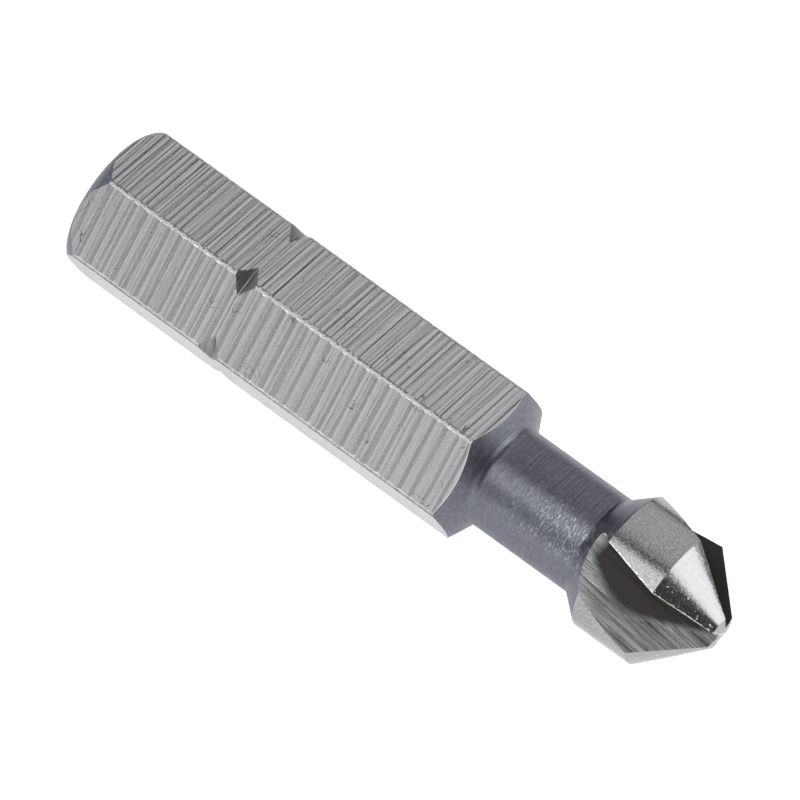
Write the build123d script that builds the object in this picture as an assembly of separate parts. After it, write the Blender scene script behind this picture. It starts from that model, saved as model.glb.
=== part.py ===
from build123d import *
import os
from math import cos, hypot, radians, sin, tan

# A 90 degree countersink bit with three flutes on a 1/4 inch hexagon shank, turned and
# ground from one bar of high-speed steel. Millimetres and degrees.
# Frame: origin on the axis in the tail end face, +X along the axis to the cutting tip,
# +Z square to the hexagon flat opposite the one that the bit lies on.

# Hexagon shank
across_flats = 6.35          # 1/4 inch drive
corner_land = 0.24           # width of the bar's round surface left between two flats
tail_step = 0.09             # the lead-in cone ends this far inside the flats at the tail face
tail_round = 1.0             # rounded edge of the tail face
lead_in_angle = 30.0         # lead-in cone at the tail, to the axis
shank_length = 20.0          # tail face to where the shoulder cone meets the flats
shoulder_angle = 60.0        # shoulder cone in front of the hexagon, to the axis
notch_position = 8.04        # tail face to the middle of the retaining notch
notch_floor = 0.125          # height of the notch's root above the flats
notch_angle = 120.0          # included angle of the notch

# Neck
neck_diameter = 4.54
neck_length = 5.05           # between the sharp corners at its two ends
shoulder_fillet = 0.45       # neck to shoulder
back_fillet = 0.35           # neck to the back of the head

# Cutting head
head_diameter = 6.3
back_angle = 40.0            # cone behind the head, to the axis
land_length = 2.70           # cylindrical part of the head
point_angle = 90.0           # included angle of the cutting cone
tip_diameter = 1.6           # where the cutting cone ends
tip_angle = 160.0            # included angle of the blunt end of the bar
relief = 0.04                # how far each tooth's surface is set off the axis
relief_lead = 10.0           # degrees ahead of each cutting edge, in the flute, where its relief starts

# Flutes
flute_count = 3
tooth_turn = 142.0           # first cutting edge at the tip, turned from +Y about the axis
axial_rake = 13.0            # lean of the rake face to the axis
root_slope = 20.0            # fall of the flute's root to the axis, in the rake face
flute_angle = 70.0           # included angle of the ground V
flute_root_radius = 0.2
web_offset = 0.15            # the V's corner passes the axis at this distance at the tip

# Radii and places along the axis that follow from these
flat_radius = across_flats / 2
tail_radius = flat_radius - tail_step
neck_radius = neck_diameter / 2
head_radius = head_diameter / 2
tip_radius = tip_diameter / 2
half_corner = radians(30)    # from the middle of a flat to the corner beside it
flat_half_width = flat_radius * tan(half_corner) - corner_land / (2 * cos(half_corner))
bar_radius = hypot(flat_radius, flat_half_width)
head_stock = max(bar_radius, head_radius + 2 * relief)
clear = 3 * head_stock       # reach of every cutting shape, well clear of the bar
pitch_angle = 360 / flute_count


def run(rise, angle):
    """Length along the axis in which a cone at this angle to the axis changes radius by rise."""
    return rise / tan(radians(angle))


neck_start = shank_length + run(flat_radius - neck_radius, shoulder_angle)
neck_end = neck_start + neck_length
land_start = neck_end + run(head_radius - neck_radius, back_angle)
land_end = land_start + land_length
cone_end = land_end + run(head_radius - tip_radius, point_angle / 2)
tip_end = cone_end + run(tip_radius, tip_angle / 2)


def turned(points, rounds=()):
    """Solid of revolution about the axis from (x, radius) points; rounds holds (point, fillet)."""
    profile = make_face(Polyline(*points, close=True))
    for point, radius in rounds:
        corner = profile.vertices().sort_by_distance(Vector(*point))[0]
        profile = fillet(corner, radius)
    return revolve(profile, Axis.X)


def turned_blank():
    """The bar as turned, before its flats and teeth: a full-round shank, the neck and a round head."""
    shoulder_start = shank_length - run(bar_radius - flat_radius, shoulder_angle)
    lead_in_end = run(bar_radius - tail_radius, lead_in_angle)
    head_start = neck_end + run(head_stock - neck_radius, back_angle)
    points = [
        (0, 0),
        (0, tail_radius),
        (lead_in_end, bar_radius),
        (shoulder_start, bar_radius),
        (neck_start, neck_radius),
        (neck_end, neck_radius),
        (head_start, head_stock),
        (cone_end + run(tip_radius - head_stock, tip_angle / 2), head_stock),
        (tip_end, 0),
    ]
    rounds = [(points[1], tail_round), (points[4], shoulder_fillet), (points[5], back_fillet)]
    return turned(points, rounds)


def outside_the_flats():
    """What milling takes off the shank: everything outside the hexagon, up to the shoulder."""
    hexagon = RegularPolygon(flat_radius, 6, major_radius=False)
    shoulder_middle = (shank_length + neck_start) / 2
    return extrude(Plane.YZ * (Circle(clear) - hexagon), shoulder_middle)


def notch_ring():
    """The V turned into the six corners, which a spring clip or ball in the holder drops into."""
    root = flat_radius + notch_floor
    half_width = (clear - root) * tan(radians(notch_angle / 2))
    return turned(
        [
            (notch_position, root),
            (notch_position + half_width, clear),
            (notch_position - half_width, clear),
        ]
    )


def directions(tooth):
    """Outward and forward-cutting directions of a tooth, square to the axis."""
    turn = radians(tooth_turn + tooth * pitch_angle)
    return Vector(0, cos(turn), sin(turn)), Vector(0, -sin(turn), cos(turn))


def relief_waste(tooth):
    """What grinding takes off one tooth's sector: full size is left at its edge, less at its heel."""
    outward, forward = directions(tooth)
    neck_middle = neck_start + neck_length / 2
    finished = turned(
        [
            (neck_middle, 0),
            (neck_middle, head_radius),
            (land_end, head_radius),
            (land_end + run(head_radius, point_angle / 2), 0),
        ]
    )
    first = outward.rotate(Axis.X, relief_lead - pitch_angle)
    middle = first.rotate(Axis.X, pitch_angle / 2)
    last = first.rotate(Axis.X, pitch_angle)
    wedge = make_face(Polyline(*[v * clear for v in (Vector(), first, middle, last)], close=True))
    sector = extrude(Pos(neck_middle, 0, 0) * wedge, tip_end - neck_middle, dir=(1, 0, 0))
    return sector - Pos(*(forward * relief)) * finished


def flute(tooth):
    """The ground V in front of a tooth: its rake face leans with the axis, its root falls to the tip."""
    outward, forward = directions(tooth)
    axis = Vector(1, 0, 0)
    lean, slope = radians(axial_rake), radians(root_slope)
    in_rake_face = axis * cos(lean) + forward * sin(lean)
    along = in_rake_face * cos(slope) - outward * sin(slope)
    across = in_rake_face * sin(slope) + outward * cos(slope)
    opening = radians(flute_angle)
    section = make_face(
        Polyline(
            (web_offset, 0),
            (web_offset + clear, 0),
            (web_offset + clear * cos(opening), clear * sin(opening)),
            close=True,
        )
    )
    section = fillet(section.vertices().sort_by_distance(Vector(web_offset, 0))[0], flute_root_radius)
    frame = Plane(origin=(tip_end, 0, 0), x_dir=across, z_dir=along)
    back = (tip_end - neck_start) / cos(lean)
    return extrude(frame * section, back, dir=-along) + extrude(frame * section, clear, dir=along)


def countersink_bit():
    """The whole bit as one solid."""
    bit = turned_blank() - outside_the_flats() - notch_ring()
    for tooth in range(flute_count):
        bit -= relief_waste(tooth)
    for tooth in range(flute_count):
        bit -= flute(tooth)
    return bit.solid()


os.makedirs("parts", exist_ok=True)
bit = countersink_bit()
export_step(bit, "parts/countersink_bit.step")
print("overall length", round(bit.bounding_box().size.X, 3), "volume", round(bit.volume, 2))
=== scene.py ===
from math import atan2, cos, pi, radians, sin, tan

import bmesh
import bpy
from bpy.props import FloatProperty, FloatVectorProperty, PointerProperty
from mathutils import Euler, Matrix, Vector


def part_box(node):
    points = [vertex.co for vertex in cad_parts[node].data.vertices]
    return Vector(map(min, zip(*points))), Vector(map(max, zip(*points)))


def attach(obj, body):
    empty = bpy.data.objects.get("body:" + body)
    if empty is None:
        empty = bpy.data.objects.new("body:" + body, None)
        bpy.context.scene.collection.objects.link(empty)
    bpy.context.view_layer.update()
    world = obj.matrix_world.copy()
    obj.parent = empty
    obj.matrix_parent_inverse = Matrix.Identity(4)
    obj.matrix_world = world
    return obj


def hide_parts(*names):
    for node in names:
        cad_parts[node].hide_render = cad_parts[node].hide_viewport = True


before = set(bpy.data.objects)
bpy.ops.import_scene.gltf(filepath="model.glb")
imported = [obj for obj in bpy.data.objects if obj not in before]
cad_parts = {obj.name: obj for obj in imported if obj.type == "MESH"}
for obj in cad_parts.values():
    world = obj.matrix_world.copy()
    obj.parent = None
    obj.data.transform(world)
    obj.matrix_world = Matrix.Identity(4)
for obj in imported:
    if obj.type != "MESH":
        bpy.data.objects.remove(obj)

bl_info = {
    "name": "Countersink Bit",
    "version": (1, 0, 0),
    "blender": (4, 5, 0),
    "location": "3D View > Sidebar > Countersink",
    "description": "Turns, mills and grinds a countersink bit and lays it on a studio floor",
    "category": "Object",
}

MM = 0.001
CAD_NODE = "countersink_bit"
PIECE = "ground_bit"
LOW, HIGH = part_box(CAD_NODE)
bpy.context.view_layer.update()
AXIS = Vector((1, 0, 0))
FLATS = 6
TEETH = 3
TURNED_STEPS = 144  # faces round a turned piece
MERGE_DISTANCE = 0.0005 * MM
SMOOTH_ANGLE = radians(18)  # faces that meet at more than this keep a hard edge


# ---------------------------------------------------------------- sizes and colours


def length(name, description, millimetres):
    """A length, kept in metres."""
    return FloatProperty(
        name=name, description=description, default=millimetres * MM, precision=5, unit="LENGTH"
    )


def angle(name, description, degrees):
    """An angle, kept in radians."""
    return FloatProperty(
        name=name, description=description, default=radians(degrees), unit="ROTATION"
    )


def colour(name, description, *rgb):
    """A linear colour."""
    return FloatVectorProperty(
        name=name, description=description, default=rgb, size=3, min=0, max=1, subtype="COLOR"
    )


def number(name, description, value):
    """A plain number."""
    return FloatProperty(name=name, description=description, default=value)


class BitSizes(bpy.types.PropertyGroup):
    """Sizes of the bit, as it is drawn"""

    across_flats: FloatProperty(
        name="Across Flats", description="Width of the hexagon shank",
        default=HIGH.z - LOW.z, precision=5, unit="LENGTH",
    )
    bar_diameter: length("Bar Diameter", "Round bar that the flats are milled on", 7.198)
    tail_step: length("Tail Step", "The lead-in cone ends this far inside the flats", 0.09)
    tail_round: length("Tail Round", "Rounded edge of the tail face", 1.0)
    lead_in_angle: angle("Lead-in Angle", "Cone at the tail, to the axis", 30)
    shank_length: length("Shank Length", "Tail face to the front of the flats", 20)
    shoulder_angle: angle("Shoulder Angle", "Cone in front of the hexagon, to the axis", 60)
    notch_position: length("Notch Position", "Tail face to the middle of the notch", 8.04)
    notch_floor: length("Notch Floor", "Height of the notch's root above the flats", 0.125)
    notch_angle: angle("Notch Angle", "Included angle of the notch", 120)
    neck_diameter: length("Neck Diameter", "Neck between shank and head", 4.54)
    neck_length: length("Neck Length", "Between the sharp corners at its ends", 5.05)
    shoulder_fillet: length("Shoulder Fillet", "Neck to shoulder", 0.45)
    back_fillet: length("Back Fillet", "Neck to the back of the head", 0.35)
    head_diameter: length("Head Diameter", "Cylindrical land of the head", 6.3)
    back_angle: angle("Back Angle", "Cone behind the head, to the axis", 40)
    land_length: length("Land Length", "Cylindrical part of the head", 2.70)
    point_angle: angle("Point Angle", "Included angle of the cutting cone", 90)
    tip_diameter: length("Tip Diameter", "Where the cutting cone ends", 1.6)
    tip_angle: angle("Tip Angle", "Included angle of the blunt end", 160)
    relief: length("Relief", "How far each tooth's surface is set off the axis", 0.04)
    relief_lead: angle("Relief Lead", "Where it starts, ahead of each cutting edge", 10)
    tooth_turn: angle("Tooth Turn", "First cutting edge, turned from +Y", 142)
    axial_rake: angle("Axial Rake", "Lean of the rake face to the axis", 13)
    root_slope: angle("Root Slope", "Fall of the flute's root to the axis", 20)
    flute_angle: angle("Flute Angle", "Included angle of the ground V", 70)
    flute_root_radius: length("Flute Root", "Radius of the flute's root", 0.2)
    web_offset: length("Web Offset", "The V's corner passes the axis at this distance", 0.15)


class BitMarks(bpy.types.PropertyGroup):
    """Marks that the tools leave, cut into the surfaces"""

    feed: length("Milling Feed", "Pitch of the steps along the flats", 0.6)
    step: length("Step Depth", "Depth of the milled steps", 0.02)
    tooth_mark: length("Tooth Marks", "Depth of the finer lines between them", 0.012)
    skin: length("Bar Skin", "Lumps on what is left of the round bar", 0.01)
    deburr: length("Deburr", "Depth of the narrow chamfers beside the flats", 0.005)
    turning: length("Turning Marks", "Depth of the rings left by the lathe", 0.006)
    grinding: length("Grinding Marks", "Depth of the lines along the flutes", 0.02)
    rows: length("Row Pitch", "Spacing of the mesh rows that carry the marks", 0.04)


class BitFinishes(bpy.types.PropertyGroup):
    """Colours of the bit's surfaces"""

    burr_turn: angle("Burr Turn", "The corner whose notch keeps a burr along its root, from +Y", 120)
    # painted sparkle: the side of the neck that mirrors the key lamp, turned from +Y
    sparkle_turn: angle("Sparkle Turn", "Where the turned surfaces are rubbed bare, from +Y", 136)

    milled: colour("Milled", "Milled flats of the shank", 0.64, 0.63, 0.65)
    skin: colour("Bar Skin", "Rounded corners of the shank", 0.56, 0.555, 0.57)
    hardened: colour("Hardened", "Turned surfaces, darkened in hardening", 0.215, 0.22, 0.262)
    # painted sparkle: colour of the bright dashes where the neck mirrors the key lamp
    painted_sparkle: colour("Painted Sparkle", "Bare spots on the turned neck", 0.80, 0.82, 0.90)
    notch: colour("Notch", "Walls of the notches", 0.30, 0.295, 0.30)
    ground: colour("Ground", "Ground lands and cutting cone", 0.43, 0.43, 0.44)
    flute: colour("Flute", "Ground walls of the flutes", 0.57, 0.566, 0.572)
    # painted reflection: brown colour of the band where the flute wall mirrors the dark rake face
    painted_reflection: colour("Painted Reflection", "Brown band along the flutes' cutting side", 0.112, 0.104, 0.098)
    bright: colour("Bright", "Burrs, bare edges and flakes of swarf", 0.95, 0.95, 0.95)


class StudioSettings(bpy.types.PropertyGroup):
    """Camera, lamps and floor"""

    azimuth: angle("Azimuth", "Camera, turned from -Y towards +X", 27.924)
    elevation: angle("Elevation", "Camera above the floor", 50.296)
    roll: angle("Roll", "Camera turned about its own line of sight", 13.579)
    distance: length("Distance", "Camera to the aim point", 400)
    focal_length: FloatProperty(
        name="Focal Length", description="Camera lens", default=446.08, unit="CAMERA"
    )
    aim: FloatVectorProperty(
        name="Aim", description="Point in the middle of the picture",
        default=(15.146 * MM, 0.054 * MM, 0.057 * MM), size=3, precision=6, subtype="XYZ",
        unit="LENGTH",
    )
    floor_colour: colour("Floor", "Floor as it looks unshaded", 1.0, 1.0, 1.0)
    sky: number("Sky", "Brightness of the room above the floor", 0.07)
    key: number("Key", "Radiance of the soft box above and in front", 1.3)
    glint: number("Glint", "Radiance of the small soft box beside the key", 1.1)
    side: number("Side", "Radiance of the soft box beyond the tip", 1.95)
    fill: number("Fill", "Radiance of the large soft box behind", 0.68)
    front: number("Front", "Radiance of the low soft box in front", 0.72)
    tail: number("Tail", "Radiance of the low soft box beyond the tail", 0.7)


# ---------------------------------------------------------------- modelling by hand


def active():
    return bpy.context.view_layer.objects.active


def only(piece):
    """Leaves one piece selected and active, in object mode."""
    if active() and active().mode != "OBJECT":
        bpy.ops.object.mode_set(mode="OBJECT")
    bpy.ops.object.select_all(action="DESELECT")
    piece.select_set(True)
    bpy.context.view_layer.objects.active = piece


def edit(piece, kind="VERT"):
    """Opens a piece in edit mode, with nothing selected."""
    only(piece)
    bpy.ops.object.mode_set(mode="EDIT")
    bpy.ops.mesh.select_mode(type=kind)
    bpy.ops.mesh.select_all(action="DESELECT")


def done():
    """Leaves edit mode and gives the piece that was open."""
    bpy.ops.object.mode_set(mode="OBJECT")
    return active()


def pick(test, kind="verts"):
    """Selects the vertices, edges or faces of the piece in edit mode that pass the test."""
    mesh = bmesh.from_edit_mesh(active().data)
    for part in getattr(mesh, kind):
        part.select_set(bool(test(part)))
    mesh.select_flush_mode()
    bmesh.update_edit_mesh(active().data)


def draw(name, points):
    """A wire drawn point by point, left in edit mode."""
    bpy.ops.object.select_all(action="DESELECT")
    bpy.ops.mesh.primitive_plane_add(size=MM, location=points[0])
    wire = active()
    wire.name = name
    bpy.ops.object.transform_apply(location=True)
    edit(wire)
    bpy.ops.mesh.select_all(action="SELECT")
    bpy.ops.mesh.merge(type="CENTER")
    for here, there in zip(points, points[1:]):
        step = tuple(Vector(there) - Vector(here))
        bpy.ops.mesh.extrude_region_move(TRANSFORM_OT_translate={"value": step})
    bpy.ops.mesh.select_all(action="SELECT")
    return wire


def heal():
    """Merges doubles of the piece in edit mode and turns its faces outwards."""
    bpy.ops.mesh.select_all(action="SELECT")
    bpy.ops.mesh.remove_doubles(threshold=MERGE_DISTANCE)
    bpy.ops.mesh.normals_make_consistent(inside=False)


def turned(name, profile, steps):
    """A turned piece from (along the axis, radius) points."""
    draw(name, [(x, 0, r) for x, r in profile])
    bpy.ops.mesh.spin(steps=steps, angle=2 * pi, center=(0, 0, 0), axis=AXIS, use_auto_merge=True)
    heal()
    return done()


def placed(piece, matrix):
    """Puts a piece's mesh where the matrix says, leaving the object at the origin."""
    only(piece)
    piece.matrix_world = matrix
    bpy.ops.object.transform_apply(location=True, rotation=True, scale=True)
    return piece


def texture(name, kind, **settings):
    """A texture to emboss with."""
    made = bpy.data.textures.new(name, kind)
    for key, value in settings.items():
        setattr(made, key, value)
    return made


def emboss(piece, pattern, cell, depth, turn=None):
    """Cuts a texture into a piece; cell is the size of one texture unit along each axis."""
    only(piece)
    bpy.ops.object.empty_add()
    ruler = active()
    ruler.matrix_world = (turn or Matrix.Identity(4)) @ Matrix.Diagonal((*cell, 1))
    bpy.context.view_layer.update()
    only(piece)
    modifier = piece.modifiers.new("marks", "DISPLACE")
    modifier.texture = pattern
    modifier.texture_coords = "OBJECT"
    modifier.texture_coords_object = ruler
    modifier.direction = "NORMAL"
    modifier.mid_level = 1
    modifier.strength = depth
    bpy.ops.object.modifier_apply(modifier=modifier.name)
    bpy.data.objects.remove(ruler)


def machine(piece, tool, operation="DIFFERENCE"):
    """Cuts a piece with a tool; the new faces keep the tool's finish."""
    only(piece)
    cut = piece.modifiers.new("cut", "BOOLEAN")
    cut.object = tool
    cut.operation = operation
    cut.solver = "MANIFOLD"
    cut.material_mode = "TRANSFER"
    bpy.ops.object.modifier_apply(modifier=cut.name)
    bpy.data.objects.remove(tool)
    if not piece.data.polygons:
        raise RuntimeError(f"nothing is left of {piece.name} after a cut")


# ---------------------------------------------------------------- the bit's own geometry


def run(rise, slope):
    """Length along the axis in which a cone at this slope changes radius by rise."""
    return rise / tan(slope)


def rounded(before, corner, after, radius, segments=6):
    """Points of the arc that rounds a corner of a profile."""
    before, corner, after = Vector(before), Vector(corner), Vector(after)
    back, ahead = (before - corner).normalized(), (after - corner).normalized()
    half = back.angle(ahead) / 2
    centre = corner + (back + ahead).normalized() * (radius / sin(half))
    first = corner + back * (radius / tan(half)) - centre
    last = corner + ahead * (radius / tan(half)) - centre
    spokes = [first.lerp(last, i / segments).normalized() for i in range(segments + 1)]
    return [centre + spoke * radius for spoke in spokes]


def stations(start, end, pitch):
    """Points from start to end, about a pitch apart, without start itself."""
    start, end = Vector(start), Vector(end)
    count = max(1, round((end - start).length / pitch))
    return [start.lerp(end, i / count) for i in range(1, count + 1)]


class Plan:
    """Radii and places along the axis that follow from the sizes."""

    def __init__(self, sizes):
        s = sizes
        self.flat = s.across_flats / 2
        self.bar = s.bar_diameter / 2
        self.neck = s.neck_diameter / 2
        self.head = s.head_diameter / 2
        self.tip = s.tip_diameter / 2
        self.tail = self.flat - s.tail_step
        self.lead_in_end = run(self.bar - self.tail, s.lead_in_angle)
        self.shoulder_start = s.shank_length - run(self.bar - self.flat, s.shoulder_angle)
        self.neck_start = s.shank_length + run(self.flat - self.neck, s.shoulder_angle)
        self.neck_end = self.neck_start + s.neck_length
        self.land_start = self.neck_end + run(self.head - self.neck, s.back_angle)
        self.land_end = self.land_start + s.land_length
        self.cone_end = self.land_end + run(self.head - self.tip, s.point_angle / 2)
        self.tip_end = self.cone_end + run(self.tip, s.tip_angle / 2)
        self.clear = 1.5 * self.bar  # how far the cutting shapes reach, well past the bar
        self.half_flat = (self.bar**2 - self.flat**2) ** 0.5
        edge_turn = atan2(self.half_flat, self.flat)
        self.edge_reach = self.bar * cos(edge_turn - pi / 2 / FLATS)  # along a chamfer's normal


def tooth_directions(sizes, tooth):
    """Outward and forward-cutting directions of a tooth, square to the axis."""
    turn = sizes.tooth_turn + tooth * 2 * pi / TEETH
    return Vector((0, cos(turn), sin(turn))), Vector((0, -sin(turn), cos(turn)))


def flute_frame(sizes, plan, tooth):
    """Where a flute's cutter stands: X across the rake face, Z along the flute's root."""
    outward, forward = tooth_directions(sizes, tooth)
    in_rake_face = AXIS * cos(sizes.axial_rake) + forward * sin(sizes.axial_rake)
    along = in_rake_face * cos(sizes.root_slope) - outward * sin(sizes.root_slope)
    across = in_rake_face * sin(sizes.root_slope) + outward * cos(sizes.root_slope)
    turn = Matrix((across, along.cross(across), along)).transposed().to_4x4()
    return Matrix.Translation((plan.tip_end, 0, 0)) @ turn


class BIT_OT_blank(bpy.types.Operator):
    """Turn the bar: tail, shoulder, neck and head"""

    bl_idname = "bit.blank"
    bl_label = "Turn the Blank"

    def execute(self, context):
        sizes, marks = context.scene.bit_sizes, context.scene.bit_marks
        plan = Plan(sizes)
        neck_row = 1.7 * marks.rows
        piece = turned(PIECE, self.profile(sizes, plan, neck_row), TURNED_STEPS)
        self.relieve(piece, sizes, plan)

        bar_skin = texture("bar_skin", "CLOUDS", noise_scale=1, noise_depth=1)
        emboss(piece, bar_skin, (0.35 * MM, 0.25 * MM, 0.25 * MM), marks.skin)
        rings = texture("turning_rings", "CLOUDS", noise_scale=1, noise_depth=2)
        emboss(piece, rings, (0.16 * MM, 40 * MM, 40 * MM), marks.turning)

        finishes = ("hardened", "skin", "land", "cone")
        for finish in finishes:
            piece.data.materials.append(bpy.data.materials.new(finish))
        for face in piece.data.polygons:
            x = face.center.x
            if plan.lead_in_end < x < plan.shoulder_start:
                face.material_index = finishes.index("skin")
            elif x > plan.land_start:
                face.material_index = finishes.index("land" if x < plan.land_end else "cone")
        return {"FINISHED"}

    def profile(self, sizes, plan, neck_row):
        """Outline of the turned bar; the shank and the head have longer rows than the neck."""
        shank_row, head_row = 2 * neck_row, 4 * neck_row
        tail, lead_in = (0, plan.tail), (plan.lead_in_end, plan.bar)
        shoulder = (plan.shoulder_start, plan.bar)
        neck_start, neck_end = (plan.neck_start, plan.neck), (plan.neck_end, plan.neck)
        land_start, land_end = (plan.land_start, plan.head), (plan.land_end, plan.head)
        cone_end, tip_end = (plan.cone_end, plan.tip), (plan.tip_end, 0)
        tail_arc = rounded((0, 0), tail, lead_in, sizes.tail_round, segments=10)
        shoulder_arc = rounded(shoulder, neck_start, neck_end, sizes.shoulder_fillet)
        back_arc = rounded(neck_start, neck_end, land_start, sizes.back_fillet)
        points = [(0, 0), (0, tail_arc[0].y / 2), *tail_arc]
        points += stations(tail_arc[-1], lead_in, shank_row)
        points += stations(lead_in, shoulder, shank_row)
        points += stations(shoulder, shoulder_arc[0], neck_row) + shoulder_arc[1:]
        points += stations(shoulder_arc[-1], back_arc[0], neck_row) + back_arc[1:]
        points += stations(back_arc[-1], land_start, neck_row)
        points += stations(land_start, land_end, head_row)
        points += stations(land_end, cone_end, head_row) + [tip_end]
        return points

    def relieve(self, piece, sizes, plan):
        """Sets the land and the cone of each tooth off the axis, towards its cutting edge."""
        for tooth in range(TEETH):
            _, forward = tooth_directions(sizes, tooth)
            last = sizes.tooth_turn + sizes.relief_lead + tooth * 2 * pi / TEETH

            def on_tooth(face):
                centre = face.calc_center_median()
                behind = (last - atan2(centre.z, centre.y)) % (2 * pi)
                return plan.land_start < centre.x < plan.cone_end and behind < 2 * pi / TEETH

            edit(piece, "FACE")
            pick(on_tooth, "faces")
            bpy.ops.transform.translate(value=forward * sizes.relief / 2)
        done()


BAND_RATE = 10  # the wood texture draws its bands as the sine of ten times the place
STEP_PROFILE = ((0.30, 1), (0.42, 0.45))  # place within one step of the feed, and height there
FLAT_SHIFT = 7.3 * MM  # each flat takes its marks from another stretch of the pattern
COARSE_MARKS = (1, 1, 0.6)  # shares of the feed, of the step depth and of the tooth marks
FINE_MARKS = (0.5, 0.35, 1.4)


class BIT_OT_flats(bpy.types.Operator):
    """Mill the six flats of the shank, with the steps that the feed leaves"""

    bl_idname = "bit.flats"
    bl_label = "Mill the Flats"

    def execute(self, context):
        sizes, marks = context.scene.bit_sizes, context.scene.bit_marks
        plan = Plan(sizes)
        finish = bpy.data.materials.new("milled")
        for flat in range(FLATS):
            slab = self.waste(sizes, marks, plan, flat)
            placed(slab, Matrix.Rotation(flat * 2 * pi / FLATS, 4, "X"))
            slab.data.materials.append(finish)
            machine(bpy.data.objects[PIECE], slab)
        self.deburr(marks, plan)
        return {"FINISHED"}

    def waste(self, sizes, marks, plan, flat):
        """What the cutter takes off for one flat, marked underneath by its feed and its teeth."""
        start, end = -MM, (sizes.shank_length + plan.neck_start) / 2
        width = 2.4 * plan.half_flat
        bpy.ops.object.select_all(action="DESELECT")
        bpy.ops.mesh.primitive_grid_add(
            x_subdivisions=round((end - start) / marks.rows), y_subdivisions=10, size=MM,
            location=((start + end) / 2, 0, plan.flat),
        )
        slab = active()
        slab.scale = ((end - start) / MM, width / MM, 1)
        bpy.ops.object.transform_apply(location=True, rotation=True, scale=True)

        feed_share, step_share, line_share = COARSE_MARKS if flat % 2 else FINE_MARKS
        shift = Matrix.Translation((-FLAT_SHIFT * flat, 0, 0))
        wave = BAND_RATE * marks.feed / (2 * pi) * feed_share
        steps = self.feed_steps(flat)
        emboss(slab, steps, (wave, 400 * MM, 400 * MM), marks.step * step_share, shift)
        lines = texture(f"tooth_marks_{flat}", "CLOUDS", noise_scale=1, noise_depth=3)
        emboss(slab, lines, (0.17 * MM, 5 * MM, 5 * MM), marks.tooth_mark * line_share, shift)

        edit(slab)
        bpy.ops.mesh.select_all(action="SELECT")
        outwards = (0, 0, plan.clear - plan.flat)
        bpy.ops.mesh.extrude_region_move(TRANSFORM_OT_translate={"value": outwards})
        heal()
        return done()

    def feed_steps(self, flat):
        """Bands across the flat, each with the same rise and fall."""
        steps = texture(
            f"steps_{flat}", "WOOD", wood_type="BANDNOISE", noise_basis_2="SAW",
            noise_scale=2.5, turbulence=0.8, use_color_ramp=True,
        )
        points = steps.color_ramp.elements
        for point in points:
            point.color = (0, 0, 0, 1)
        for place, height in STEP_PROFILE:
            points.new(place).color = (height, height, height, 1)
        return steps

    def deburr(self, marks, plan):
        """Takes the sharp edges beside the flats down to a lumpy twelve-sided gauge."""
        bpy.ops.object.select_all(action="DESELECT")
        bpy.ops.mesh.primitive_cylinder_add(
            vertices=2 * FLATS, radius=(plan.edge_reach - marks.deburr) / cos(pi / 2 / FLATS),
            depth=plan.tip_end + 2 * MM, location=(plan.tip_end / 2, 0, 0), rotation=(0, pi / 2, 0),
        )
        gauge = active()
        bpy.ops.object.transform_apply(location=True, rotation=True)
        edit(gauge, "EDGE")
        for shortest, cuts in ((MM, 100), (0.01 * MM, 2)):
            pick(lambda edge: abs(edge.verts[0].co.x - edge.verts[1].co.x) > shortest, "edges")
            bpy.ops.mesh.subdivide(number_cuts=cuts)
        done()
        lumps = texture("deburr_lumps", "CLOUDS", noise_scale=1, noise_depth=1)
        emboss(gauge, lumps, (0.5 * MM, 0.5 * MM, 0.5 * MM), marks.deburr)
        gauge.data.materials.append(bpy.data.materials["skin"])
        machine(bpy.data.objects[PIECE], gauge, "INTERSECT")


class BIT_OT_notches(bpy.types.Operator):
    """Turn the V that a spring clip or ball in the holder drops into"""

    bl_idname = "bit.notches"
    bl_label = "Turn the Notches"

    def execute(self, context):
        sizes = context.scene.bit_sizes
        plan = Plan(sizes)
        root = plan.flat + sizes.notch_floor
        half_width = (plan.clear - root) * tan(sizes.notch_angle / 2)
        corners = [
            (sizes.notch_position, root),
            (sizes.notch_position + half_width, plan.clear),
            (sizes.notch_position - half_width, plan.clear),
            (sizes.notch_position, root),
        ]
        ring = turned("notch_tool", corners, TURNED_STEPS)
        ring.data.materials.append(bpy.data.materials.new("notch"))
        machine(bpy.data.objects[PIECE], ring)
        return {"FINISHED"}


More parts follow.
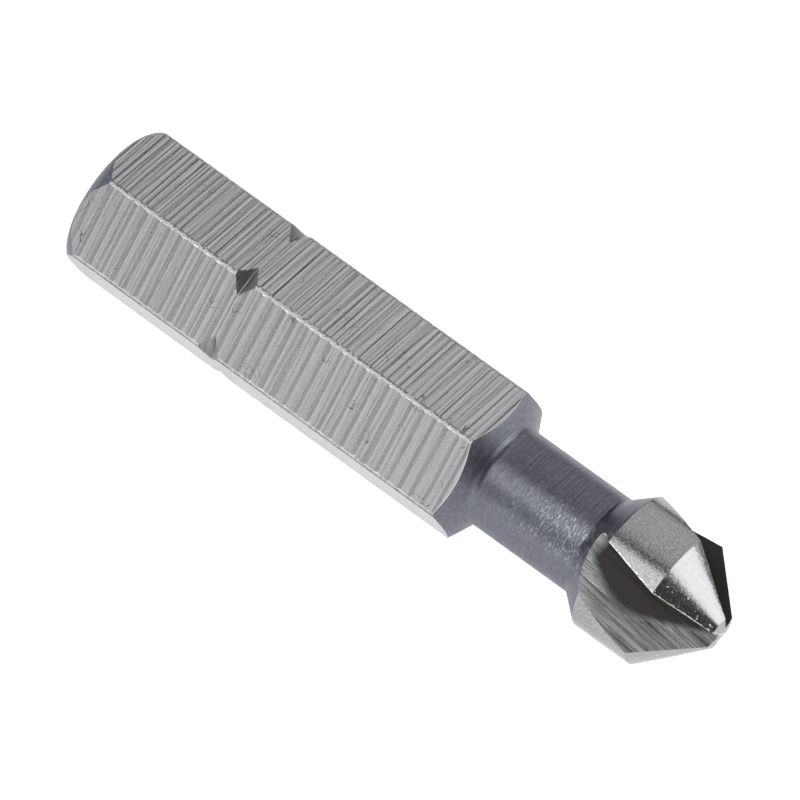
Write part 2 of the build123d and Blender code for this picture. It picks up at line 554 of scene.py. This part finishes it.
class BIT_OT_flutes(bpy.types.Operator):
    """Grind the three flutes, with the lines that the wheel leaves"""

    bl_idname = "bit.flutes"
    bl_label = "Grind the Flutes"

    def execute(self, context):
        sizes, marks = context.scene.bit_sizes, context.scene.bit_marks
        plan = Plan(sizes)
        wheel = self.wheel(sizes, marks, plan)
        for tooth in range(TEETH):
            only(wheel)
            bpy.ops.object.duplicate()
            tool = active()
            tool.data.materials.append(bpy.data.materials.new(f"flute_{tooth + 1}"))
            placed(tool, flute_frame(sizes, plan, tooth))
            machine(bpy.data.objects[PIECE], tool)
        bpy.data.objects.remove(wheel)
        return {"FINISHED"}

    def wheel(self, sizes, marks, plan):
        """The V that the wheel sweeps, with its corner on the flute's root."""
        reach = plan.clear
        back = (plan.tip_end - plan.neck_start) / cos(sizes.axial_rake)
        leg_cuts, length_cuts = 90, 15
        rake_end = Vector((sizes.web_offset + reach, 0))
        corner = Vector((sizes.web_offset, 0))
        heel_end = corner + reach * Vector((cos(sizes.flute_angle), sin(sizes.flute_angle)))
        root = rounded(rake_end, corner, heel_end, sizes.flute_root_radius, segments=12)
        draw("flute_tool", [(x, y, -back) for x, y in (rake_end, *root, heel_end)])
        pick(lambda edge: edge.calc_length() > reach / 2, "edges")
        bpy.ops.mesh.subdivide(number_cuts=leg_cuts)
        bpy.ops.mesh.select_all(action="SELECT")
        bpy.ops.mesh.edge_face_add()
        bpy.ops.mesh.extrude_region_move(TRANSFORM_OT_translate={"value": (0, 0, back + reach)})
        pick(lambda edge: edge.calc_length() > back, "edges")
        bpy.ops.mesh.subdivide(number_cuts=length_cuts)
        heal()
        wheel = done()
        lines = texture("grinding_lines", "CLOUDS", noise_scale=1, noise_depth=2)
        emboss(wheel, lines, (0.14 * MM, 0.14 * MM, 8 * MM), marks.grinding)
        return wheel


# ---------------------------------------------------------------- finishes


NOISE_MIDDLE = 0.5
DARK_SHARE = 0.4  # what is left of a colour in a scratch or a tear


def even(size):
    """Grains of one size along every axis."""
    return (size,) * 3


def darkened(rgb):
    return tuple(DARK_SHARE * part for part in rgb)


class Finish:
    """A surface, built node by node on one of the scene's materials."""

    def __init__(self, name):
        self.material = bpy.data.materials[name]
        self.material.use_nodes = True
        self.tree = self.material.node_tree
        self.tree.nodes.clear()
        self.shader = self.add("ShaderNodeBsdfPrincipled")
        self.add("ShaderNodeOutputMaterial", {"Surface": self.shader.outputs[0]})
        self.place = self.add("ShaderNodeTexCoord").outputs["Object"]

    def connect(self, node, sockets):
        """Links a node's inputs, or sets those that are constant."""
        for key, value in sockets.items():
            if isinstance(value, bpy.types.NodeSocket):
                self.tree.links.new(value, node.inputs[key])
            else:
                node.inputs[key].default_value = value

    def add(self, kind, sockets=None, **settings):
        made = self.tree.nodes.new(kind)
        for key, value in settings.items():
            setattr(made, key, value)
        self.connect(made, sockets or {})
        return made

    def seen_from(self, stand):
        """Object coordinates as they are seen from a frame that stands on the piece."""
        turn = stand.to_3x3().inverted()
        shift = -(turn @ stand.translation)
        sockets = {0: self.place, "Rotation": turn.to_euler(), "Location": shift}
        return self.add("ShaderNodeMapping", sockets).outputs[0]

    def split(self, vector):
        """The three parts of a vector."""
        return self.add("ShaderNodeSeparateXYZ", {0: vector}).outputs

    def math(self, operation, *numbers):
        """A sum of one, two or three numbers."""
        made = self.add("ShaderNodeMath", dict(enumerate(numbers)), operation=operation)
        return made.outputs[0]

    def vector_math(self, operation, sockets, result="Vector"):
        """A sum of vectors, which gives a vector or a value."""
        made = self.add("ShaderNodeVectorMath", sockets, operation=operation)
        return made.outputs[result]

    def crosswise(self):
        """The place, seen along the axis."""
        return self.vector_math("MULTIPLY", {0: self.place, 1: (0, 1, 1)})

    def facing(self, turn):
        """1 on the side of the bit that faces this way round the axis, 0 a quarter turn from it."""
        outward = self.vector_math("NORMALIZE", {0: self.crosswise()})
        return self.vector_math("DOT_PRODUCT", {0: outward, 1: (0, cos(turn), sin(turn))}, "Value")

    def noise(self, cell, detail=2, place=None):
        """Noise whose grains have this size, in millimetres, along each axis."""
        scale = tuple(1 / (size * MM) for size in cell)
        scaled = self.add("ShaderNodeMapping", {0: place or self.place, "Scale": scale}).outputs[0]
        sockets = {"Vector": scaled, "Scale": 1, "Detail": detail}
        return self.add("ShaderNodeTexNoise", sockets).outputs[0]

    def ramp(self, value, start, end, low=0.0, high=1.0):
        """Turns start..end of a value into low..high, and holds it outside."""
        sockets = {"Value": value, 1: start, 2: end, 3: low, 4: high}
        return self.add("ShaderNodeMapRange", sockets).outputs[0]

    def between(self, pattern, low, high):
        """Turns the usual run of a pattern into low..high."""
        return self.ramp(pattern, 0.3, 0.7, low, high)

    def tint(self, pattern, rgb, low, high):
        """The colour, made darker or lighter by a pattern."""
        return self.vector_math("SCALE", {0: tuple(rgb), "Scale": self.between(pattern, low, high)})

    def blend(self, mask, under, over):
        """One value over another where the mask is 1."""
        sockets = {0: mask, 2: under, 3: over}
        return self.add("ShaderNodeMix", sockets, data_type="FLOAT").outputs[0]

    def paint(self, mask, under, rgb):
        """A colour over another where the mask is 1."""
        sockets = {0: mask, 6: under, 7: (*rgb, 1)}
        return self.add("ShaderNodeMix", sockets, data_type="RGBA").outputs[2]

    def bump(self, height, depth, normal=None):
        """The surface raised by a pattern, on top of another bump if one is given."""
        sockets = {"Height": height, "Strength": 1, "Distance": depth}
        if normal:
            sockets["Normal"] = normal
        return self.add("ShaderNodeBump", sockets).outputs[0]

    def metal(self, base_color, roughness, normal):
        """Bare steel with this colour, roughness and bump."""
        sockets = {"Metallic": 1, "Base Color": base_color, "Roughness": roughness, "Normal": normal}
        self.connect(self.shader, sockets)


def flats_height(finish, flats):
    """Distance from the axis along the nearest of these flats' normals."""
    highest = None
    for flat in flats:
        turn = flat * 2 * pi / FLATS
        sockets = {0: finish.place, 1: (0, -sin(turn), cos(turn))}
        height = finish.vector_math("DOT_PRODUCT", sockets, "Value")
        highest = finish.math("MAXIMUM", highest, height) if highest else height
    return highest


def finish_milled(sizes, plan, colours):
    """Bright milled flats, scratched, with a burr where they run out into the shoulder."""
    curl_width, patch_level = 0.012, 0.64  # thin crooked scratches, in patches
    burr_start = sizes.shank_length - 0.05 * MM
    milled = Finish("milled")
    lines = milled.noise((0.12, 6, 6), 3)
    grain = milled.noise(even(0.08), 3)
    off_middle = milled.math("SUBTRACT", milled.noise(even(0.5), 1), NOISE_MIDDLE)
    curls = milled.math("LESS_THAN", milled.math("ABSOLUTE", off_middle), curl_width)
    patches = milled.math("GREATER_THAN", milled.noise(even(1.1), 1), patch_level)
    scratches = milled.math("MULTIPLY", curls, patches)

    radius = milled.vector_math("LENGTH", {0: milled.crosswise()}, "Value")
    rise = milled.math("SUBTRACT", radius, plan.flat)
    slant = milled.math("DIVIDE", rise, tan(sizes.shoulder_angle))
    reach = milled.math("ADD", milled.split(milled.place)[0], slant)
    burr = milled.math("GREATER_THAN", reach, burr_start)

    base = milled.tint(grain, colours.milled, 0.95, 1.05)
    base = milled.paint(scratches, base, darkened(colours.milled))
    milled.metal(
        base_color=milled.paint(burr, base, colours.bright),
        roughness=milled.blend(burr, milled.between(grain, 0.265, 0.315), 0.6),
        normal=milled.bump(grain, 0.0010 * MM, milled.bump(lines, 0.021 * MM)),
    )


def finish_bar_skin(plan, colours):
    """What is left of the drawn bar's surface: lumpy, burred on one side and torn on the other."""
    narrowest, burr_width, tear_width = 0.005 * MM, 0.045 * MM, 0.09 * MM
    skin = Finish("skin")
    lumps = skin.noise(even(0.12), 3)
    burr_reach = skin.between(lumps, narrowest, burr_width)
    tear_reach = skin.between(lumps, narrowest, tear_width)
    burr_height = skin.math("ADD", flats_height(skin, range(1, FLATS, 2)), burr_reach)
    tear_height = skin.math("ADD", flats_height(skin, range(0, FLATS, 2)), tear_reach)
    burred = skin.math("GREATER_THAN", burr_height, plan.flat)
    torn = skin.math("GREATER_THAN", tear_height, plan.flat)
    base = skin.tint(lumps, colours.skin, 0.75, 1.35)
    base = skin.paint(torn, base, darkened(colours.skin))
    skin.metal(
        base_color=skin.paint(burred, base, colours.bright),
        roughness=skin.between(lumps, 0.26, 0.42),
        normal=skin.bump(lumps, 0.02 * MM),
    )


def finish_notch(sizes, colours):
    """Turned walls of the notches, with a burr along the root of one of them."""
    burr_half_width = 0.025 * MM
    notch = Finish("notch")
    rings = notch.noise((0.10, 0.8, 0.8), 3)
    beside = notch.math("SUBTRACT", notch.split(notch.place)[0], sizes.notch_position)
    at_root = notch.math("LESS_THAN", notch.math("ABSOLUTE", beside), burr_half_width)
    on_side = notch.ramp(notch.facing(colours.burr_turn), 0.90, 0.95)
    burr = notch.math("MULTIPLY", at_root, on_side)
    notch.metal(
        base_color=notch.paint(burr, notch.tint(rings, colours.notch, 0.6, 1.3), colours.bright),
        roughness=notch.between(rings, 0.28, 0.42),
        normal=notch.bump(rings, 0.01 * MM),
    )


def finish_hardened(colours):
    """Turned steel with broken rings, blued a little in hardening, with painted sparkle: bright
    dashes painted on the side of the neck that mirrors the key lamp.
    """
    # painted sparkle grows along the neck towards the head
    sparkle_start, sparkle_full = 21 * MM, 24 * MM  # from the tail
    hardened = Finish("hardened")
    rings = hardened.noise((0.06, 1.5, 1.5), 3)
    specks = hardened.noise((0.10, 0.20, 0.20), 3)
    blotches = hardened.noise(even(0.8), 2)
    dashes = hardened.ramp(hardened.noise((0.04, 0.24, 0.24), 2), 0.55, 0.65)
    # painted sparkle: bright dashes on the side that mirrors the key lamp
    on_side = hardened.ramp(hardened.facing(colours.sparkle_turn), 0.84, 0.97)
    patch = hardened.math("MULTIPLY", on_side, hardened.between(blotches, 0.2, 1.2))
    on_neck = hardened.ramp(hardened.split(hardened.place)[0], sparkle_start, sparkle_full)
    painted_sparkle = hardened.math("MULTIPLY", hardened.math("MULTIPLY", dashes, patch), on_neck)
    base = hardened.tint(specks, colours.hardened, 0.84, 1.16)
    hardened.metal(
        base_color=hardened.paint(painted_sparkle, base, colours.painted_sparkle),
        roughness=hardened.between(rings, 0.30, 0.44),
        normal=hardened.bump(specks, 0.003 * MM, hardened.bump(rings, 0.018 * MM)),
    )


def edge_burrs(finish, sizes, plan, wobble):
    """Where a land lies within a hair of a cutting edge."""
    narrowest, widest = -0.01 * MM, 0.06 * MM
    nearest = None
    for tooth in range(TEETH):
        across, height, _ = finish.split(finish.seen_from(flute_frame(sizes, plan, tooth)))
        beyond_axis = finish.math("MAXIMUM", finish.math("SUBTRACT", 0.0, across), 0.0)
        side = finish.math("ADD", finish.math("ABSOLUTE", height), beyond_axis)
        nearest = finish.math("MINIMUM", nearest, side) if nearest else side
    return finish.math("LESS_THAN", nearest, finish.between(wobble, narrowest, widest))


def finish_land(sizes, plan, colours):
    """Ground lands, speckled, with bare cutting edges."""
    land = Finish("land")
    speckle = land.noise(even(0.09), 3)
    edge = edge_burrs(land, sizes, plan, speckle)
    land.metal(
        base_color=land.paint(edge, land.tint(speckle, colours.ground, 0.72, 1.26), colours.bright),
        roughness=land.between(speckle, 0.15, 0.25),
        normal=land.bump(speckle, 0.006 * MM),
    )


def finish_cone(sizes, plan, colours):
    """Ground cutting cone, smooth, with flakes of swarf and bare cutting edges."""
    cone = Finish("cone")
    speckle = cone.noise(even(0.14), 3)
    flakes = cone.ramp(cone.noise(even(0.16), 1), 0.70, 0.72)
    bare = cone.math("MAXIMUM", flakes, edge_burrs(cone, sizes, plan, speckle))
    cone.metal(
        base_color=cone.paint(bare, cone.tint(speckle, colours.ground, 0.9, 1.08), colours.bright),
        roughness=cone.blend(bare, cone.between(speckle, 0.15, 0.24), 0.7),
        normal=cone.bump(speckle, 0.006 * MM),
    )


def reflection_band(flute, height, along, streaks):
    """Painted reflection of the dark rake face in the flute wall: a band beside the rake face,
    widest in the middle of the flute and ragged along its edge.
    """
    widest, behind_tip, rounding = 1.78 * MM, 3.72 * MM, 1.5 * MM
    rise, fall = 0.41, -0.545  # how its width changes up to the widest place, and after it
    torn = 0.12 * MM
    edge_start, edge_full = -0.34 * MM, -0.06 * MM
    neck_start, neck_full = -6.3 * MM, -5.8 * MM
    beyond = flute.math("ADD", along, behind_tip)
    rising = flute.math("MULTIPLY_ADD", beyond, rise, widest)
    falling = flute.math("MULTIPLY_ADD", beyond, fall, widest)
    width = flute.math("SMOOTH_MIN", rising, falling, rounding)
    inside = flute.math("SUBTRACT", width, height)
    ragged = flute.math("ADD", inside, flute.between(streaks, -torn, torn))
    in_band = flute.ramp(ragged, edge_start, edge_full)
    return flute.math("MULTIPLY", in_band, flute.ramp(along, neck_start, neck_full))


def finish_flute(sizes, plan, colours, tooth):
    """Streaks along the wheel's path, and a brown band of painted reflection: the rake face mirrored
    dark in the wall beside the cutting edge.
    """
    flute = Finish(f"flute_{tooth + 1}")
    stand = flute.seen_from(flute_frame(sizes, plan, tooth))
    _, height, along = flute.split(stand)
    streaks = flute.noise((0.09, 0.09, 6), 3, stand)
    bands = flute.noise((0.45, 0.45, 2.2), 2, stand)
    # painted reflection of the rake face, beside the cutting edge
    painted_reflection = reflection_band(flute, height, along, streaks)
    outside_reflection = flute.math("SUBTRACT", 1.0, painted_reflection)
    # painted sheen: the wall made up to 1.6 times lighter towards the neck end of the flute
    painted_sheen = flute.ramp(along, -5.8 * MM, -4.6 * MM, 1.6, 1.0)
    # random bands of tone, times the painted sheen
    tone_and_sheen = flute.math("MULTIPLY", flute.between(bands, 0.75, 1.2), painted_sheen)
    steel = flute.tint(streaks, colours.flute, 0.4, 1.5)
    steel = flute.vector_math("SCALE", {0: steel, "Scale": tone_and_sheen})
    flute.metal(
        base_color=flute.paint(painted_reflection, steel, colours.painted_reflection),
        roughness=flute.blend(painted_reflection, flute.between(streaks, 0.22, 0.34), 0.46),
        normal=flute.bump(flute.math("MULTIPLY", outside_reflection, streaks), 0.03 * MM),
    )


class BIT_OT_finishes(bpy.types.Operator):
    """Give every surface its finish and put the bit in the CAD solid's place"""

    bl_idname = "bit.finishes"
    bl_label = "Finish the Surfaces"

    def execute(self, context):
        sizes, colours = context.scene.bit_sizes, context.scene.bit_finishes
        plan = Plan(sizes)
        finish_milled(sizes, plan, colours)
        finish_bar_skin(plan, colours)
        finish_notch(sizes, colours)
        finish_hardened(colours)
        finish_land(sizes, plan, colours)
        finish_cone(sizes, plan, colours)
        for tooth in range(TEETH):
            finish_flute(sizes, plan, colours, tooth)

        piece = bpy.data.objects[PIECE]
        only(piece)
        bpy.ops.object.shade_smooth_by_angle(angle=SMOOTH_ANGLE)
        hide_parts(CAD_NODE)
        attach(piece, "root")
        return {"FINISHED"}


# ---------------------------------------------------------------- stage


FLOOR_WIDTH = 4
SEEN_GLOW = 0.8  # light of the floor's own, as the camera sees it
MIRRORED_GLOW = 0.5  # the same, as metal and glass see it
SENSOR_WIDTH = 36  # of a full-frame camera, in millimetres
NEAREST_SEEN = 0.01
SOFT_BOXES = {  # the way from the middle to the lamp, its distance, width and height
    "key": ((-0.17, -0.62, 0.765), 0.35, 0.34, 0.29),
    "glint": ((0.45, -0.51, 0.73), 0.35, 0.06, 0.15),
    "side": ((0.85, 0.46, 0.34), 0.35, 0.24, 0.20),
    "fill": ((-0.01, 0.62, 0.78), 0.90, 0.68, 1.62),
    "front": ((-0.035, -0.97, 0.20), 0.90, 0.54, 0.36),
    "tail": ((-0.97, 0.00, 0.22), 0.50, 0.25, 0.20),
}


def soft_box(name, middle, direction, distance, width, height, radiance):
    """A rectangular lamp that faces the middle from one side."""
    direction = Vector(direction).normalized()
    bpy.ops.object.light_add(type="AREA", location=middle + direction * distance)
    lamp = active()
    lamp.name = name
    lamp.rotation_euler = direction.to_track_quat("Z", "Y").to_euler()
    lamp.data.shape = "RECTANGLE"
    lamp.data.size = width
    lamp.data.size_y = height
    lamp.data.energy = radiance * pi * width * height
    lamp.visible_camera = False


class BIT_OT_stage(bpy.types.Operator):
    """Set the floor, the soft lamps and the camera"""

    bl_idname = "bit.stage"
    bl_label = "Set the Stage"

    def execute(self, context):
        scene, studio = context.scene, context.scene.bit_studio
        middle = Vector(((LOW.x + HIGH.x) / 2, 0, 0))
        self.lay_floor(middle, studio.floor_colour)
        for name, (direction, distance, width, height) in SOFT_BOXES.items():
            radiance = getattr(studio, name)
            soft_box(name, middle, direction, distance, width, height, radiance)

        world = bpy.data.worlds.new("room")
        scene.world = world
        world.use_nodes = True
        sky = world.node_tree.nodes["Background"].inputs["Color"]
        sky.default_value = (studio.sky,) * 3 + (1,)
        scene.camera = self.set_camera(scene, studio)
        scene.view_settings.view_transform = "Standard"
        return {"FINISHED"}

    def lay_floor(self, middle, floor_colour):
        """White paper that glows a little, less for what is mirrored than for the camera."""
        bpy.ops.object.select_all(action="DESELECT")
        bpy.ops.mesh.primitive_plane_add(size=FLOOR_WIDTH, location=(middle.x, 0, LOW.z))
        floor = active()
        floor.name = "floor"
        floor.data.materials.append(bpy.data.materials.new("floor"))
        paper = Finish("floor")
        ray = paper.add("ShaderNodeLightPath").outputs
        mirrored = paper.math("MAXIMUM", ray["Is Glossy Ray"], ray["Is Transmission Ray"])
        mirrored = paper.math("MULTIPLY", mirrored, MIRRORED_GLOW)
        seen = paper.math("MULTIPLY", ray["Is Camera Ray"], SEEN_GLOW)
        paper.connect(paper.shader, {
            "Base Color": (*floor_colour, 1),
            "Roughness": 0.9,
            "Specular IOR Level": 0,
            "Emission Color": (1, 1, 1, 1),
            "Emission Strength": paper.math("MAXIMUM", seen, mirrored),
        })

    def set_camera(self, scene, studio):
        """A camera that looks down at the aim point."""
        lens = bpy.data.cameras.new("camera")
        camera = bpy.data.objects.new("camera", lens)
        scene.collection.objects.link(camera)
        turn = Euler((pi / 2 - studio.elevation, 0, studio.azimuth)).to_matrix()
        turn = turn @ Matrix.Rotation(studio.roll, 3, "Z")
        backwards = turn @ Vector((0, 0, 1))
        camera.rotation_euler = turn.to_euler()
        camera.location = Vector(studio.aim) + backwards * studio.distance
        lens.lens = studio.focal_length
        lens.sensor_width = SENSOR_WIDTH
        lens.clip_start = NEAREST_SEEN
        return camera


STEPS = (BIT_OT_blank, BIT_OT_flats, BIT_OT_notches, BIT_OT_flutes, BIT_OT_finishes, BIT_OT_stage)


class BIT_PT_sidebar(bpy.types.Panel):
    """Steps that make the bit, in order"""

    bl_idname = "BIT_PT_sidebar"
    bl_label = "Countersink Bit"
    bl_space_type = "VIEW_3D"
    bl_region_type = "UI"
    bl_category = "Countersink"

    def draw(self, context):
        for step in STEPS:
            self.layout.operator(step.bl_idname)


GROUPS = {
    "bit_sizes": BitSizes,
    "bit_marks": BitMarks,
    "bit_finishes": BitFinishes,
    "bit_studio": StudioSettings,
}


def register():
    for cls in (*GROUPS.values(), *STEPS, BIT_PT_sidebar):
        bpy.utils.register_class(cls)
    for name, group in GROUPS.items():
        setattr(bpy.types.Scene, name, PointerProperty(type=group))


def unregister():
    for name in GROUPS:
        delattr(bpy.types.Scene, name)
    for cls in reversed((*GROUPS.values(), *STEPS, BIT_PT_sidebar)):
        bpy.utils.unregister_class(cls)


def main():
    register()
    bpy.ops.bit.blank()
    bpy.ops.bit.flats()
    bpy.ops.bit.notches()
    bpy.ops.bit.flutes()
    bpy.ops.bit.finishes()
    bpy.ops.bit.stage()


if __name__ == "__main__":
    main()
